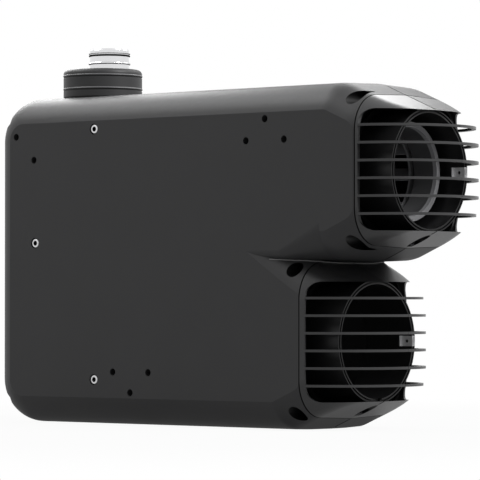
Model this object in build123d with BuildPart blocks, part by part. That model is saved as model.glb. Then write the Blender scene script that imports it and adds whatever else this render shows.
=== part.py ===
from build123d import *
import math
import os

os.makedirs("parts", exist_ok=True)

# Caravan gas heater. X runs along the body towards the air ports, Y from the front face to the rear
# face with the parting plane at 0, and Z up from the flat that the casing stands on. All in mm.

# Casing
body_length = 497.0
body_height = 303.8
flat_half_depth = 73.0
rim_half_depth = 73.9
rim_radius = 32.0
draft_angle = 2.0
wall = 3.0
corner_radius = 42.0
bend_radius = 40.0
foot_bend_radius = 15.0
crotch_bend_radius = 100.0
tip_radius = 8.0
foot_flat = 1.0
lower_block_height = 246.0

# The two heads at the right-hand end
upper_head_z = 225.5
head_pitch = 148.0
lower_head_setback = 58.0
lip_half_height = 52.3
nose_overhang = 26.6
head_slope = 23.0
crotch_slope = 26.5
shoulder_slope = 32.6
arm_underside_z = 147.1
outline_overrun = 40.0

# Front lower edge of the upper arm, from its hidden left end to the head
edge_rim_radius = 8.0
edge_left_x = -10.0
edge_widening_x = 105.0
edge_right_x = 150.0
edge_cover = 4.0

# Grille inserts
upper_groove_back = 34.2
lower_groove_back = 37.2
groove_gap = 1.0
opening_back = 31.0
opening_corner_radius = 10.0
fit_gap = 0.3
skirt_wall = 1.5
skirt_length = 11.0
lip_wall = 1.6
frame_flange = 1.2
fin_count = 6
fin_pitch = 15.2
fin_thickness = 2.2
fin_depth = 6.0
end_fin_inset = 3.2
end_fin_side_inset = 0.4
grille_screw_drop = 61.0
grille_well_radius = 5.5
grille_well_wall = 2.0
grille_screw_length = 8.0

# Air ports inside the heads
duct_outer_radius = 54.3
duct_wall = 4.0
duct_front_back = 8.0
duct_flange_radius = 58.5
duct_flange_thickness = 3.0
duct_groove_radius = 53.2
duct_groove_width = 1.6
duct_groove_depth = 2.0
duct_notch_width = 12.6
duct_notch_depth = 4.0
plate_thickness = 3.0
plate_gap = 0.2
upper_plate_back = 52.5
lower_plate_back = 57.0
clip_length = 12.1
clip_height = 9.2
clip_sheet = 0.8
clip_front_flange = 4.0
clip_rear_flange = 3.2
clip_hole_radius = 1.5

# Screw wells in the casing
upper_well_back = 43.0
lower_well_back = 47.5
well_drop = 62.5
well_radius = 6.2
well_boss_wall = 2.5
well_floor_y = -12.0
boss_joint_y = -8.0
rear_boss_radius = 6.0
rear_spigot_radius = 4.0
pad_half_height = 4.0
left_wells = ((-233.2, 280.4), (-233.2, 22.6))
left_well_radius = 5.5
shell_screw_radius = 2.0
shell_screw_head_radius = 3.9
shell_screw_head_height = 3.5
shell_screw_length = 24.0
screw_clearance = 0.25
thread_gap = 0.05

# Bright screws and small holes in the front face
face_screws_xz = ((-115.7, 270.2), (-190.4, 166.7), (-115.7, 41.3))
face_recess_radius = 4.9
face_recess_depth = 5.0
face_cup_wall = 2.5
face_cup_floor = 3.0
face_head_radius = 4.2
face_head_height = 4.3
face_socket_radius = 2.2
face_socket_depth = 2.4
face_shank_radius = 2.5
face_nut_radius = 5.0
face_nut_length = 5.0
face_holes_xz = (
    (88.5, 272.2),
    (66.9, 253.6),
    (110.3, 253.6),
    (-91.9, 48.6),
    (-48.7, 48.6),
    (-70.6, 30.1),
    (-214.5, 265.9),
    (-191.6, 243.9),
)
face_hole_radius = 3.25
face_hole_depth = 11.0
face_hole_wall = 2.0
face_hole_floor = 2.0

# Fixing points and inlets in the rear face
rear_fix_centre = (-50.0, 150.0)
rear_fix_spacing_x = 280.0
rear_fix_spacing_z = 200.0
rear_fix_radius = 2.75
rear_fix_depth = 9.0
cable_xz = (10.0, 236.0)
cable_gland_radius = 8.0
cable_gland_flange = 10.5
cable_gland_bore = 3.5
inlet_hole_radius = 13.0
rear_end_gap = 0.5

# Seal in the parting joint
seal_inset = 0.9
seal_width = 1.2
seal_height = 1.0

# Carrier plate behind the front face
carrier_sheet = 2.0
carrier_left_x = -218.0
carrier_right_x = 45.0
carrier_bottom_z = 32.0
carrier_top_z = 277.0
carrier_corner = 12.0
carrier_window_corner = 10.0

# Heat exchanger and burner, all on one axis along X
burner_z = 81.0
core_left_x = -181.0
core_right_x = 45.0
core_half_depth = 36.0
core_half_height = 41.0
core_wall = 4.0
fin_plate = 2.5
fin_plate_pitch = 14.0
fin_plate_count = 13
fin_plate_first_x = -134.0
fin_plate_half_depth = 56.0
fin_plate_half_height = 53.0
lug_width = 14.0
lug_height = 12.0
burner_plate_thickness = 3.0
flame_tube_radius = 25.0
flame_tube_wall = 1.5
flame_tube_length = 190.0
burner_radius = 15.0
burner_wall = 1.2
burner_length = 70.0
burner_port_radius = 1.5
burner_port_rings = 5
burner_ports_per_ring = 10
rod_radius = 1.5
rod_ceramic_radius = 2.6
rod_offset = 19.8
rod_length = 55.0
rod_ceramic_length = 12.0
mixing_radius = 36.0
mixing_wall = 2.5
mixing_length = 12.0
switch_radius = 8.0
switch_height = 7.0
switch_x = -160.0

# Combustion air fan
air_housing_radius = 48.0
air_housing_left_x = -243.0
air_housing_wall = 2.0
air_divider_x = -224.0
air_eye_radius = 20.0
air_outlet_offset = 28.0
air_outlet_radius = 6.0
air_impeller_radius = 42.0
air_impeller_gap = 2.0
air_impeller_hub = 8.0
air_blades = 12
air_blade_thickness = 1.2
air_motor_radius = 16.0
air_motor_length = 13.0
air_shaft_radius = 2.0
neck_half_depth = 13.0
neck_top_z = 135.0
running_gap = 0.05

# Flue on the top
flue_x = -172.1
tube_offset = 8.5
collar_radius = 37.0
collar_wall = 4.0
collar_top_z = 330.35
collar_shoulder = 4.5
collar_shoulder_reach = 3.5
collar_flange_radius = 42.0
collar_flange_thickness = 2.5
collar_seat_z = 294.0
collar_neck_step = 1.5
collar_neck_rise = 0.7
collar_hole_gap = 0.3
collar_rings_z = (311.3, 323.6)
collar_groove_height = 1.0
collar_groove_depth = 0.9
flue_tube_radius = 18.5
flue_tube_wall = 1.5
flue_tube_bottom_z = 288.0
flue_tube_top_z = 349.6
flue_bead_z = 335.9
flue_bead_reach = 1.4
flue_bead_half = 0.9
o_ring_z = 343.3
o_ring_section = 0.9
manifold_right_x = -135.0
manifold_left_x = -209.0
manifold_bottom_z = 230.0
manifold_half_depth = 36.0
manifold_wall = 2.0
duct_leg_height = 17.0
duct_leg_bottom_z = 233.0

# Warm-air blower behind the upper port
inlet_outer_radius = 43.5
inlet_bore_radius = 39.0
inlet_front_back = 30.0
inlet_flange_radius = 48.5
inlet_flange_thickness = 2.0
inlet_throat_radius = 36.0
wheel_radius = 55.0
wheel_front_back = 60.0
wheel_width = 30.0
wheel_disc = 2.0
wheel_shroud_bore = 40.0
wheel_hub_radius = 14.0
wheel_hub_length = 20.0
wheel_blades = 11
wheel_blade_thickness = 1.5
wheel_blade_sweep = 35.0
fan_shaft_radius = 3.0
bracket_radius = 65.0
bracket_sheet = 3.0
bracket_gap = 4.0
bracket_post_radius = 4.0
bracket_post_offset = 61.0
bracket_arm_width = 14.0
bracket_arms = 3
fan_motor_radius = 26.0
fan_motor_length = 30.0

# Air guides
partition_z = 144.0
partition_sheet = 2.0
partition_left_x = -138.0
shield_sheet = 1.0
shield_margin = 6.0

# Gas valve and gas line
valve_x = -90.0
valve_y = 28.0
valve_length = 50.0
valve_depth = 40.0
valve_height = 38.0
valve_edge = 3.0
coil_radius = 17.0
coil_height = 38.0
coil_cap = 6.0
plunger_radius = 5.0
plunger_length = 28.0
seat_depth = 6.0
spring_wire = 0.4
spring_radius = 3.4
spring_turns = 4
gas_pipe_radius = 3.0
gas_pipe_bend = 15.0
gas_port_height = 14.0
inlet_pipe_radius = 4.0
inlet_bore = 2.5
inlet_nut_radius = 9.0
inlet_nut_length = 8.0
inlet_rise = 20.0

# Electronics
box_left_x = -62.0
box_right_x = 40.0
box_bottom_z = 168.0
box_top_z = 262.0
box_depth = 32.0
box_wall = 2.0
box_post = 8.0
board_thickness = 1.6
board_margin = 0.3
board_parts = ((-30.0, 22.0, 9.0), (-8.0, 22.0, 12.0), (14.0, 20.0, 7.0), (34.0, 0.0, 10.0))
board_part_width = 14.0
board_part_height = 16.0
capacitors_xz = ((-28.0, -22.0), (-8.0, -22.0))
capacitor_radius = 6.0
capacitor_length = 15.0
sensor_offset = 48.0
sensor_radius = 2.2
sensor_length = 12.0

# Places worked out from the sizes above
left_x = -body_length / 2
upper_tip_x = body_length / 2
lower_tip_x = upper_tip_x - lower_head_setback
upper_lip_x = upper_tip_x - nose_overhang
lower_lip_x = lower_tip_x - nose_overhang
lower_head_z = upper_head_z - head_pitch
bottom_z = -foot_flat
split_z = arm_underside_z - 1.0
heads = {"upper": (upper_lip_x, upper_head_z), "lower": (lower_lip_x, lower_head_z)}
groove_backs = {"upper": upper_groove_back, "lower": lower_groove_back}
well_backs = {"upper": upper_well_back, "lower": lower_well_back}
plate_backs = {"upper": upper_plate_back, "lower": lower_plate_back}
head_rise = math.tan(math.radians(head_slope))
crotch_rise = math.tan(math.radians(crotch_slope))
shoulder_rise = math.tan(math.radians(shoulder_slope))
crotch_x = lower_lip_x - (arm_underside_z - lower_head_z - lip_half_height) / crotch_rise
carrier_y = -(flat_half_depth - face_recess_depth - face_cup_floor)
tube_x = flue_x + tube_offset
collar_neck_radius = collar_radius - collar_neck_step
board_front_y = carrier_y + carrier_sheet + box_post
arm_halves = {}


def save(builder, name):
    """Label a finished piece and write its STEP file."""
    builder.part.label = name
    export_step(builder.part, "parts/" + name + ".step")


def bend_x(from_x, rise, z_gap):
    """X where a slope that starts at from_x has moved z_gap away from its starting level."""
    return from_x - z_gap / rise


def upper_points():
    """Side outline of the upper arm at the parting plane."""
    top_gap = body_height - upper_head_z - lip_half_height
    low_gap = upper_head_z - lip_half_height - arm_underside_z
    end_x = upper_lip_x + outline_overrun
    drop = outline_overrun * head_rise
    return (
        (left_x, arm_underside_z),
        (left_x, body_height),
        (bend_x(upper_lip_x, head_rise, top_gap), body_height),
        (end_x, upper_head_z + lip_half_height - drop),
        (end_x, upper_head_z - lip_half_height + drop),
        (bend_x(upper_lip_x, head_rise, low_gap), arm_underside_z),
    )


def lower_points():
    """Side outline of the block that ends in the lower head."""
    top_gap = lower_block_height - arm_underside_z
    low_gap = lower_head_z - lip_half_height - bottom_z
    end_x = lower_lip_x + outline_overrun
    return (
        (left_x, bottom_z),
        (left_x, lower_block_height),
        (bend_x(crotch_x, shoulder_rise, top_gap), lower_block_height),
        (crotch_x, arm_underside_z),
        (end_x, lower_head_z + lip_half_height - outline_overrun * crotch_rise),
        (end_x, lower_head_z - lip_half_height + outline_overrun * head_rise),
        (bend_x(lower_lip_x, head_rise, low_gap), bottom_z),
    )


outlines = {
    "upper": (upper_points(),
              (corner_radius, corner_radius, bend_radius, tip_radius, tip_radius, bend_radius)),
    "lower": (lower_points(),
              (corner_radius, corner_radius, bend_radius, crotch_bend_radius, tip_radius, tip_radius,
               foot_bend_radius)),
}


def rounded_arm(name, inset):
    """Front half of one arm: drafted side outline, half-round nose in plan, rounded rim, flat face."""
    points, radii = outlines[name]
    depth = rim_half_depth - inset
    nose_x = heads[name][0] + nose_overhang - rim_half_depth
    with BuildPart() as arm:
        with BuildSketch(Plane.XZ):
            with BuildLine():
                FilletPolyline(*points, radius=radii, close=True)
            make_face()
            if inset > 0:
                offset(amount=-inset, kind=Kind.ARC)
        extrude(amount=depth, taper=draft_angle)
        with BuildSketch(Plane.XY.offset(-rim_half_depth)):
            with Locations((nose_x - body_length, -depth / 2)):
                Rectangle(2 * body_length, depth)
            with Locations((nose_x, 0)):
                Circle(depth)
            with Locations((nose_x, depth)):
                Rectangle(2 * body_length, 2 * depth, mode=Mode.SUBTRACT)
        extrude(amount=2 * body_height, mode=Mode.INTERSECT)
        flat = arm.faces().sort_by(Axis.Y)[0]
        nose = [f for f in arm.faces().filter_by(GeomType.CYLINDER) if abs(f.radius - depth) < 0.01]
        rim = []
        for edge in flat.edges() + nose[0].edges():
            on_joint = abs((edge @ 0).Y) < 0.01 and abs((edge @ 1).Y) < 0.01
            blends = abs((edge % 0.5).Z) > 0.999 and (edge @ 0.5).X > nose_x - 1
            if not on_joint and not blends:
                rim.append(edge)
        fillet(rim, radius=rim_radius - inset)
        split(bisect_by=Plane.XZ.offset(flat_half_depth - inset), keep=Keep.BOTTOM)
    return arm.part


def sharp_edge(arm, inset):
    """The upper arm with its front lower edge rounded small, widening to the head's rim."""
    slant = math.radians(draft_angle)
    half_turn = (math.pi / 2 + slant) / 2
    face_y = inset - flat_half_depth
    edge_z = arm_underside_z + inset - face_y * math.tan(slant)
    cover = rim_radius / math.tan(half_turn) + edge_cover
    inner_y = face_y + cover * math.cos(slant)
    stations = ((edge_left_x, edge_rim_radius), (edge_widening_x, edge_rim_radius),
                (edge_right_x, rim_radius))
    with BuildPart() as strip:
        for x, radius in stations:
            reach = (radius - inset) / math.tan(half_turn)
            depth = (radius - inset) * (1 / math.sin(half_turn) - 1)
            face_end = (face_y, edge_z + reach)
            under_end = (face_y + reach * math.cos(slant), edge_z - reach * math.sin(slant))
            middle = (face_y + depth * math.sin(half_turn), edge_z + depth * math.cos(half_turn))
            with BuildSketch(Plane.YZ.offset(x)):
                with BuildLine():
                    Polyline(under_end, (inner_y, edge_z - cover * math.sin(slant)),
                             (inner_y, edge_z + cover), (face_y, edge_z + cover), face_end)
                    ThreePointArc(face_end, middle, under_end)
                make_face()
        loft(ruled=True)
    with BuildPart() as sharpened:
        add(arm)
        add(block(edge_left_x, edge_right_x, -rim_half_depth, inner_y, arm_underside_z - edge_cover,
                  edge_z + cover), mode=Mode.SUBTRACT)
        add(strip.part)
    return sharpened.part


def arm_half(name, inset):
    """Front half of the arm that ends in the named head, made once for each inset."""
    key = (name, inset)
    if key not in arm_halves:
        arm = rounded_arm(name, inset)
        arm_halves[key] = sharp_edge(arm, inset) if name == "upper" else arm
    return arm_halves[key]


def casing_half(inset):
    """Front half of the casing's outer form, or of the same form drawn in by inset."""
    with BuildPart() as half:
        add(arm_half("upper", inset))
        add(arm_half("lower", inset))
    return half.part


def arm_slab(name, inset, x_from, x_to, z_from=-body_height, z_to=2 * body_height):
    """Slice of an arm's form between two X values and two Z values, front and rear."""
    with BuildPart() as slab:
        add(block(x_from, x_to, -rim_half_depth, 0, z_from, z_to))
        add(arm_half(name, inset), mode=Mode.INTERSECT)
        mirror(about=Plane.XZ)
    return slab.part


def head_zone(name, start_x):
    """Block that holds everything of one head to the right of an X value."""
    low_z, high_z = (split_z, 2 * body_height) if name == "upper" else (-body_height, split_z)
    return block(start_x, body_length, -2 * rim_half_depth, 2 * rim_half_depth, low_z, high_z)


def well_places():
    """X, Z and radius of every deep screw well in the front shell."""
    places = []
    for name, (lip_x, head_z) in heads.items():
        for side in (-1, 1):
            places.append((lip_x - well_backs[name], head_z + side * well_drop, well_radius))
    return places + [(x, z, left_well_radius) for x, z in left_wells]


def pegs(places, y_from, y_to, spare=0.0):
    """Round bars along Y, one for each (x, z, radius)."""
    with BuildPart() as bars:
        for x, z, radius in places:
            with BuildSketch(Plane.XZ.offset(-y_from)):
                with Locations((x, z)):
                    Circle(radius + spare)
        extrude(amount=y_from - y_to)
    return bars.part


def bar_x(x_from, x_to, y, z, radius):
    """Round bar along X."""
    with BuildPart() as bar:
        with BuildSketch(Plane.YZ.offset(x_from)):
            with Locations((y, z)):
                Circle(radius)
        extrude(amount=x_to - x_from)
    return bar.part


def block(x_from, x_to, y_from, y_to, z_from, z_to):
    """Plain block between two corners."""
    with BuildPart(Plane.XY.offset(z_from)) as solid:
        with BuildSketch(Plane.XY.offset(z_from)):
            with Locations(((x_from + x_to) / 2, (y_from + y_to) / 2)):
                Rectangle(abs(x_to - x_from), abs(y_to - y_from))
        extrude(amount=z_to - z_from)
    return solid.part


def screw_pad(name, spare=0.0):
    """Block of the rear shell that one grille's screw goes into, or the room for it."""
    lip_x, head_z = heads[name]
    pad_z = head_z - grille_screw_drop
    half_height = pad_half_height + spare
    return block(lip_x - well_backs[name], lip_x - groove_backs[name] - fit_gap + spare, -spare,
                 rear_boss_radius + spare, pad_z - half_height, pad_z + half_height)


outer_half = casing_half(0)
cavity_half = casing_half(wall)

# Casing wall of one side, open at the heads and flat underneath
with BuildPart() as half_wall:
    add(outer_half)
    add(cavity_half, mode=Mode.SUBTRACT)
    for head, (lip, _) in heads.items():
        add(head_zone(head, lip - groove_backs[head]), mode=Mode.SUBTRACT)
    split(bisect_by=Plane.XY, keep=Keep.TOP)

# Seal in the parting joint, a flat strip inside the thickness of the wall
with BuildPart() as shell_seal:
    for strip_inset, strip_mode in ((seal_inset, Mode.ADD), (seal_inset + seal_width, Mode.SUBTRACT)):
        for outline, outline_radii in outlines.values():
            with BuildSketch(Plane.XZ):
                with BuildLine():
                    FilletPolyline(*outline, radius=outline_radii, close=True)
                make_face()
                offset(amount=-strip_inset, kind=Kind.ARC)
            extrude(amount=seal_height / 2, both=True, mode=strip_mode)
    for head, (lip, _) in heads.items():
        add(head_zone(head, lip - groove_backs[head] - wall), mode=Mode.SUBTRACT)
    with Locations((flue_x, 0, body_height)):
        Cylinder(collar_radius + wall, 4 * wall, mode=Mode.SUBTRACT)
save(shell_seal, "shell_seal")

# Front shell: wall, screw bosses, cups for the bright screws and for the small holes
boss_places = well_places()
face_recesses = [(x, z, face_recess_radius) for x, z in face_screws_xz]
face_holes = [(x, z, face_hole_radius) for x, z in face_holes_xz]
with BuildPart() as front_inside:
    add(pegs(boss_places, boss_joint_y, -rim_half_depth, well_boss_wall))
    add(pegs(face_recesses, carrier_y, -flat_half_depth, face_cup_wall))
    add(pegs(face_holes, -flat_half_depth + face_hole_depth + face_hole_floor, -flat_half_depth,
             face_hole_wall))
    add(outer_half, mode=Mode.INTERSECT)
with BuildPart() as front_shell:
    add(half_wall.part)
    add(front_inside.part)
    add(pegs(boss_places, well_floor_y, -rim_half_depth), mode=Mode.SUBTRACT)
    add(pegs([(x, z, shell_screw_radius + screw_clearance) for x, z, _ in boss_places],
             boss_joint_y, well_floor_y), mode=Mode.SUBTRACT)
    add(pegs(face_recesses, -flat_half_depth + face_recess_depth, -flat_half_depth), mode=Mode.SUBTRACT)
    add(pegs([(x, z, face_shank_radius + screw_clearance) for x, z in face_screws_xz],
             carrier_y, -flat_half_depth), mode=Mode.SUBTRACT)
    add(pegs(face_holes, -flat_half_depth + face_hole_depth, -flat_half_depth), mode=Mode.SUBTRACT)
    with Locations((flue_x, 0, body_height)):
        Cylinder(collar_neck_radius + collar_hole_gap, 8 * wall, mode=Mode.SUBTRACT)
    add(shell_seal.part, mode=Mode.SUBTRACT)
save(front_shell, "front_shell")

# Rear shell: wall, threaded bosses, fixing points and the two inlet holes
rear_fixings = []
for side_x in (-1, 1):
    for side_z in (-1, 1):
        rear_fixings.append((rear_fix_centre[0] + side_x * rear_fix_spacing_x / 2,
                             rear_fix_centre[1] + side_z * rear_fix_spacing_z / 2, rear_fix_radius))
with BuildPart() as rear_half:
    add(half_wall.part)
    mirror(about=Plane.XZ)
    split(bisect_by=Plane.XZ, keep=Keep.BOTTOM)
with BuildPart() as rear_form:
    add(outer_half)
    mirror(about=Plane.XZ)
with BuildPart() as rear_inside:
    add(pegs([(x, z, rear_boss_radius) for x, z, _ in boss_places], rim_half_depth, 0))
    add(pegs(rear_fixings, flat_half_depth, flat_half_depth - rear_fix_depth - face_hole_floor,
             face_hole_wall))
    for head in heads:
        add(screw_pad(head))
    add(rear_form.part, mode=Mode.INTERSECT)
    add(pegs([(x, z, rear_spigot_radius) for x, z, _ in boss_places], 0, boss_joint_y))
with BuildPart() as rear_shell:
    add(rear_half.part)
    add(rear_inside.part)
    add(pegs([(x, z, shell_screw_radius + thread_gap) for x, z, _ in boss_places],
             boss_joint_y + shell_screw_length, boss_joint_y), mode=Mode.SUBTRACT)
    for head, (lip, head_z) in heads.items():
        add(bar_x(lip - opening_back - grille_screw_length, lip - groove_backs[head], 0,
                  head_z - grille_screw_drop, shell_screw_radius + thread_gap), mode=Mode.SUBTRACT)
    add(pegs(rear_fixings, flat_half_depth, flat_half_depth - rear_fix_depth), mode=Mode.SUBTRACT)
    add(pegs([(cable_xz[0], cable_xz[1], cable_gland_radius)], flat_half_depth,
             flat_half_depth - 2 * wall), mode=Mode.SUBTRACT)
    add(pegs([(valve_x, partition_z + partition_sheet + inlet_rise, inlet_hole_radius)], flat_half_depth,
             flat_half_depth - 2 * wall), mode=Mode.SUBTRACT)
    with Locations((flue_x, 0, body_height)):
        Cylinder(collar_neck_radius + collar_hole_gap, 8 * wall, mode=Mode.SUBTRACT)
    add(shell_seal.part, mode=Mode.SUBTRACT)
save(rear_shell, "rear_shell")

# Shell screws at the bottom of the wells
with BuildPart() as shell_screws:
    add(pegs([(x, z, shell_screw_head_radius) for x, z, _ in boss_places],
             well_floor_y, well_floor_y - shell_screw_head_height))
    add(pegs([(x, z, shell_screw_radius) for x, z, _ in boss_places],
             well_floor_y + shell_screw_length, well_floor_y))
    add(pegs([(x, z, shell_screw_radius) for x, z, _ in boss_places],
             well_floor_y - shell_screw_head_height + face_socket_depth,
             well_floor_y - shell_screw_head_height), mode=Mode.SUBTRACT)
save(shell_screws, "shell_screws")

# Bright socket screws in the front face
face_seat_y = -flat_half_depth + face_recess_depth
with BuildPart() as face_screws:
    add(pegs([(x, z, face_head_radius) for x, z in face_screws_xz],
             face_seat_y, face_seat_y - face_head_height))
    add(pegs([(x, z, face_shank_radius) for x, z in face_screws_xz],
             carrier_y + carrier_sheet + face_nut_length, face_seat_y))
    crown = [e for e in face_screws.edges().filter_by(GeomType.CIRCLE)
             if abs((e @ 0).Y - face_seat_y + face_head_height) < 0.01]
    fillet(crown, radius=face_head_height / 6)
    for x, z in face_screws_xz:
        with BuildSketch(Plane.XZ.offset(-face_seat_y + face_head_height)):
            with Locations((x, z)):
                RegularPolygon(face_socket_radius, 6)
        extrude(amount=-face_socket_depth, mode=Mode.SUBTRACT)
save(face_screws, "face_screws")


def grille(name):
    """Grille insert of one head: lips, frame, skirt behind the frame, screw well and six fins."""
    lip_x, head_z = heads[name]
    nose_x = lip_x + nose_overhang - rim_half_depth
    frame_x = lip_x - groove_backs[name] + groove_gap
    open_x = lip_x - opening_back
    end_x = lip_x + outline_overrun
    well_z = head_z - grille_screw_drop
    low_z, high_z = (split_z, 2 * body_height) if name == "upper" else (0, split_z)
    flange_x = frame_x + frame_flange
    with BuildPart() as lips:
        add(arm_slab(name, 0, frame_x, end_x, low_z, high_z))
        add(arm_slab(name, lip_wall, flange_x, end_x, low_z, high_z), mode=Mode.SUBTRACT)
        add(arm_slab(name, wall + fit_gap + skirt_wall, frame_x, flange_x, low_z, high_z),
            mode=Mode.SUBTRACT)
    with BuildPart() as skirt:
        add(arm_slab(name, wall + fit_gap, frame_x - skirt_length, frame_x, low_z, high_z))
        add(arm_slab(name, wall + fit_gap + skirt_wall, frame_x - skirt_length, frame_x, low_z, high_z),
            mode=Mode.SUBTRACT)
    with BuildPart() as screw_well:
        add(bar_x(frame_x, lip_x, 0, well_z, grille_well_radius + grille_well_wall))
        add(arm_slab(name, 0, frame_x, end_x, low_z, high_z), mode=Mode.INTERSECT)
        add(bar_x(frame_x, lip_x, 0, head_z, duct_outer_radius + fit_gap), mode=Mode.SUBTRACT)
    with BuildPart() as fins:
        for row in range(fin_count):
            level = head_z + (row - (fin_count - 1) / 2) * fin_pitch
            at_end = row in (0, fin_count - 1)
            outside_x = rim_half_depth - (end_fin_inset if at_end else 0)
            outside_y = rim_half_depth - (end_fin_side_inset if at_end else 0)
            with BuildSketch(Plane.XY.offset(level - fin_thickness / 2)):
                with Locations((nose_x, 0)):
                    Ellipse(outside_x, outside_y)
                    Circle(rim_half_depth - fin_depth, mode=Mode.SUBTRACT)
                with Locations((open_x - groove_gap + body_length / 2, 0)):
                    Rectangle(body_length, 2 * flat_half_depth, mode=Mode.INTERSECT)
            extrude(amount=fin_thickness)
        add(bar_x(nose_x - rim_half_depth, lip_x - duct_front_back + groove_gap, 0, head_z,
                  duct_outer_radius + groove_gap), mode=Mode.SUBTRACT)
    with BuildPart() as insert:
        add(lips.part)
        with BuildSketch(Plane.XZ.offset(-rim_half_depth)):
            with Locations((open_x + body_length / 2, head_z)):
                RectangleRounded(body_length, 2 * lip_half_height, opening_corner_radius)
        extrude(amount=2 * rim_half_depth, mode=Mode.SUBTRACT)
        add(skirt.part)
        add(screw_well.part)
        add(fins.part)
        add(bar_x(open_x, end_x, 0, well_z, grille_well_radius), mode=Mode.SUBTRACT)
        add(bar_x(frame_x - skirt_length, open_x, 0, well_z, shell_screw_radius + screw_clearance),
            mode=Mode.SUBTRACT)
        for side in (-1, 1):
            well_place = [(lip_x - well_backs[name], head_z + side * well_drop, well_radius)]
            add(pegs(well_place, rim_half_depth, -rim_half_depth, well_boss_wall + fit_gap),
                mode=Mode.SUBTRACT)
        add(screw_pad(name, fit_gap), mode=Mode.SUBTRACT)
    return insert


def duct_ring(name):
    """Round air spigot on its flange, with a stepped end face."""
    lip_x, head_z = heads[name]
    seat_x = lip_x - plate_backs[name]
    end_x = lip_x - duct_front_back
    bore_radius = duct_outer_radius - duct_wall
    with BuildPart() as ring:
        add(bar_x(seat_x, seat_x + duct_flange_thickness, 0, head_z, duct_flange_radius))
        add(bar_x(seat_x, end_x, 0, head_z, duct_outer_radius))
        add(bar_x(seat_x, end_x, 0, head_z, bore_radius), mode=Mode.SUBTRACT)
        with BuildSketch(Plane.YZ.offset(end_x - duct_groove_depth)):
            with Locations((0, head_z)):
                Circle(duct_groove_radius)
                Circle(duct_groove_radius - duct_groove_width, mode=Mode.SUBTRACT)
        extrude(amount=duct_groove_depth, mode=Mode.SUBTRACT)
        if name == "lower":
            add(block(end_x - duct_notch_depth, end_x, -duct_notch_width / 2, duct_notch_width / 2,
                      head_z - duct_groove_radius, head_z - bore_radius + duct_wall), mode=Mode.SUBTRACT)
    return ring


def duct_clip(name):
    """Z-shaped sheet clip on a duct ring at mid-height, hooked over the ring's end face."""
    lip_x, head_z = heads[name]
    front_x = lip_x - duct_front_back + clip_sheet
    back_x = front_x - clip_length
    low_z, high_z = head_z - clip_height / 2, head_z + clip_height / 2
    seat_y = math.sqrt((duct_outer_radius - duct_wall) ** 2 - (clip_height / 2) ** 2) - running_gap
    web_y = seat_y - clip_sheet
    with BuildPart() as clip:
        add(block(back_x, front_x, web_y, seat_y, low_z, high_z))
        add(block(front_x - clip_sheet, front_x, web_y, web_y + clip_front_flange, low_z, high_z))
        add(block(back_x, back_x + clip_sheet, web_y - clip_rear_flange, seat_y, low_z, high_z))
        add(pegs([((back_x + front_x) / 2, head_z, clip_hole_radius)], seat_y, web_y),
            mode=Mode.SUBTRACT)
    return clip


def bulkhead(name, hole_radius, z_to):
    """Plate across a head that carries the duct ring."""
    lip_x, head_z = heads[name]
    front_x = lip_x - plate_backs[name]
    with BuildPart() as plate:
        add(arm_slab(name, wall + plate_gap, front_x - plate_thickness, front_x, z_to=z_to))
        add(bar_x(front_x - plate_thickness, front_x, 0, head_z, hole_radius), mode=Mode.SUBTRACT)
    return plate


for head in heads:
    save(grille(head), head + "_grille")
    save(duct_ring(head), head + "_duct_ring")
    save(duct_clip(head), head + "_duct_clip")
save(bulkhead("upper", wheel_shroud_bore, 2 * body_height), "intake_plate")
save(bulkhead("lower", duct_outer_radius - duct_wall, partition_z), "outlet_plate")

# Screws that hold the two grilles
with BuildPart() as grille_screws:
    for lip, head_z in heads.values():
        seat_x = lip - opening_back
        screw_z = head_z - grille_screw_drop
        add(bar_x(seat_x - grille_screw_length, seat_x, 0, screw_z, shell_screw_radius))
        add(bar_x(seat_x, seat_x + shell_screw_head_height, 0, screw_z, shell_screw_head_radius))
        with BuildSketch(Plane.YZ.offset(seat_x + shell_screw_head_height)):
            with Locations((0, screw_z)):
                RegularPolygon(face_socket_radius, 6)
        extrude(amount=-face_socket_depth, mode=Mode.SUBTRACT)
save(grille_screws, "grille_screws")

# Air inlet nozzle in front of the blower wheel
upper_lip, fan_z = heads["upper"]
nozzle_seat_x = upper_lip - upper_plate_back
nozzle_end_x = upper_lip - inlet_front_back
with BuildPart() as fan_inlet_ring:
    with BuildSketch(Plane.XZ):
        with BuildLine():
            Polyline(
                (nozzle_seat_x, fan_z + inlet_throat_radius),
                (nozzle_seat_x, fan_z + inlet_flange_radius),
                (nozzle_seat_x + inlet_flange_thickness, fan_z + inlet_flange_radius),
                (nozzle_seat_x + inlet_flange_thickness, fan_z + inlet_outer_radius),
                (nozzle_end_x, fan_z + inlet_outer_radius),
                (nozzle_end_x, fan_z + inlet_bore_radius),
                close=True,
            )
        make_face()
    revolve(axis=Axis((0, 0, fan_z), (1, 0, 0)))
save(fan_inlet_ring, "fan_inlet_ring")

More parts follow.
